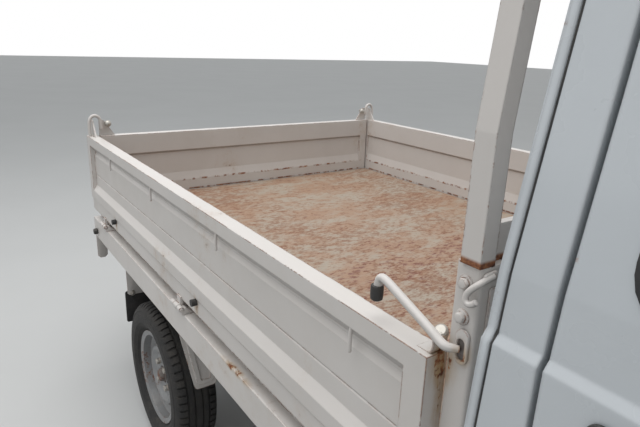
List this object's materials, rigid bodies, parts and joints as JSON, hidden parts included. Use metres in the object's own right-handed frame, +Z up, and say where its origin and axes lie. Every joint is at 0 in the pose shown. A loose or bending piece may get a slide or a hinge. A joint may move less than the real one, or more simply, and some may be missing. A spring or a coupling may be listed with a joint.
{
  "type": "kei truck",
  "caption": "Small cab-over truck with a dropside bed, guard frame, opening doors, drop gates, steered front wheels and rolling wheels.",
  "frame": {"origin": "on the ground, under the middle of the truck's bounding box", "axes": "+X forward, +Y to the truck's left, +Z up"},
  "size_m": [3.395, 1.81, 1.8],
  "materials": {
    "cab_paint": "cool white paint, gloss, lightly dusty",
    "bed_paint": "warm off-white paint with chips and rust at the edges",
    "floor_paint": "worn off-white paint with much light rust",
    "bumper_paint": "cool white paint",
    "glass": "clear flat glass, slightly green",
    "lamp_clear": "clear ribbed lens",
    "lamp_amber": "amber lens",
    "lamp_red": "red lens",
    "dash_plastic": "dark grained plastic",
    "black_plastic": "black moulded plastic",
    "seat_vinyl": "dark grey vinyl",
    "chassis_black": "black chassis paint with road dirt",
    "cast_iron": "bare iron with surface rust",
    "exhaust_steel": "heat-tinted steel with rust",
    "rubber": "black rubber",
    "tyre": "dusty black tyre rubber",
    "wheel_steel": "silver wheel paint, rusty at the edges and hub"
  },
  "bodies": {
    "truck": {"cab_shell": "cab_paint", "windscreen": "glass", "rear_window": "glass", "head_lamps": "lamp_clear", "turn_lamps": "lamp_amber", "tail_lamps": "lamp_red", "front_bumper": "bumper_paint", "dashboard": "dash_plastic", "steering_column": "dash_plastic", "seat_left": "seat_vinyl", "seat_right": "seat_vinyl", "chassis_frame": "chassis_black", "leaf_springs": "chassis_black", "rear_axle": "chassis_black", "front_suspension": "chassis_black", "engine_block": "cast_iron", "fuel_tank": "chassis_black", "exhaust": "exhaust_steel", "bed_floor": "floor_paint", "sill_left": "bed_paint", "sill_right": "bed_paint", "tail_hinges": "bed_paint", "bed_front_board": "bed_paint", "guard_frame": "bed_paint", "latch_levers": "bed_paint", "mud_flaps": "rubber"},
    "tail_gate": {"tail_gate": "bed_paint"},
    "steering_wheel": {"steering_wheel": "dash_plastic"},
    "gate_left": {"gate_left": "bed_paint", "gate_stops_left": "rubber"},
    "door_left": {"door_left": "cab_paint", "door_glass_left": "glass", "mirror_left": "black_plastic"},
    "knuckle_left": {"knuckle_left": "cast_iron"},
    "wheel_front_left": {"rim_front_left": "wheel_steel", "tyre_front_left": "tyre"},
    "wheel_rear_left": {"rim_rear_left": "wheel_steel", "tyre_rear_left": "tyre"},
    "gate_right": {"gate_right": "bed_paint", "gate_stops_right": "rubber"},
    "door_right": {"door_right": "cab_paint", "door_glass_right": "glass", "mirror_right": "black_plastic"},
    "knuckle_right": {"knuckle_right": "cast_iron"},
    "wheel_front_right": {"rim_front_right": "wheel_steel", "tyre_front_right": "tyre"},
    "wheel_rear_right": {"rim_rear_right": "wheel_steel", "tyre_rear_right": "tyre"}
  },
  "joints": [
    {"name": "gate_left_drop", "type": "hinge", "parent": "truck", "child": "gate_left", "pos_m": [-0.7, 0.736, 0.698], "axis": [-1, 0, 0], "range_deg": [0, 175]},
    {"name": "door_left_swing", "type": "hinge", "parent": "truck", "child": "door_left", "pos_m": [1.4085, 0.7445, 0.9], "axis": [0, 0, -1], "range_deg": [0, 65]},
    {"name": "gate_right_drop", "type": "hinge", "parent": "truck", "child": "gate_right", "pos_m": [-0.7, -0.736, 0.698], "axis": [1, 0, 0], "range_deg": [0, 175]},
    {"name": "door_right_swing", "type": "hinge", "parent": "truck", "child": "door_right", "pos_m": [1.4085, -0.7445, 0.9], "axis": [0, 0, 1], "range_deg": [0, 65]},
    {"name": "steer_left", "type": "hinge", "parent": "truck", "child": "knuckle_left", "pos_m": [0.858, 0.608, 0.264], "axis": [0, 0, 1], "range_deg": [-35, 35]},
    {"name": "steer_right", "type": "hinge", "parent": "truck", "child": "knuckle_right", "pos_m": [0.858, -0.608, 0.264], "axis": [0, 0, 1], "range_deg": [-35, 35]},
    {"name": "wheel_front_left_spin", "type": "hinge", "parent": "knuckle_left", "child": "wheel_front_left", "pos_m": [0.858, 0.65, 0.264], "axis": [0, 1, 0], "continuous": true},
    {"name": "wheel_rear_left_spin", "type": "hinge", "parent": "truck", "child": "wheel_rear_left", "pos_m": [-1.042, 0.65, 0.264], "axis": [0, 1, 0], "continuous": true},
    {"name": "wheel_front_right_spin", "type": "hinge", "parent": "knuckle_right", "child": "wheel_front_right", "pos_m": [0.858, -0.65, 0.264], "axis": [0, 1, 0], "continuous": true},
    {"name": "wheel_rear_right_spin", "type": "hinge", "parent": "truck", "child": "wheel_rear_right", "pos_m": [-1.042, -0.65, 0.264], "axis": [0, 1, 0], "continuous": true},
    {"name": "tail_gate_drop", "type": "hinge", "parent": "truck", "child": "tail_gate", "pos_m": [-1.69, 0, 0.698], "axis": [0, -1, 0], "range_deg": [0, 175]},
    {"name": "steering_wheel_turn", "type": "hinge", "parent": "truck", "child": "steering_wheel", "pos_m": [1.255, -0.34, 1.12], "axis": [-0.6428, 0, 0.766], "range_deg": [-565, 565]}
  ],
  "couplings": [
    {"joint": "steer_right", "follows": "steer_left", "ratio": 1},
    {"joint": "steering_wheel_turn", "follows": "steer_left", "ratio": 16}
  ]
}
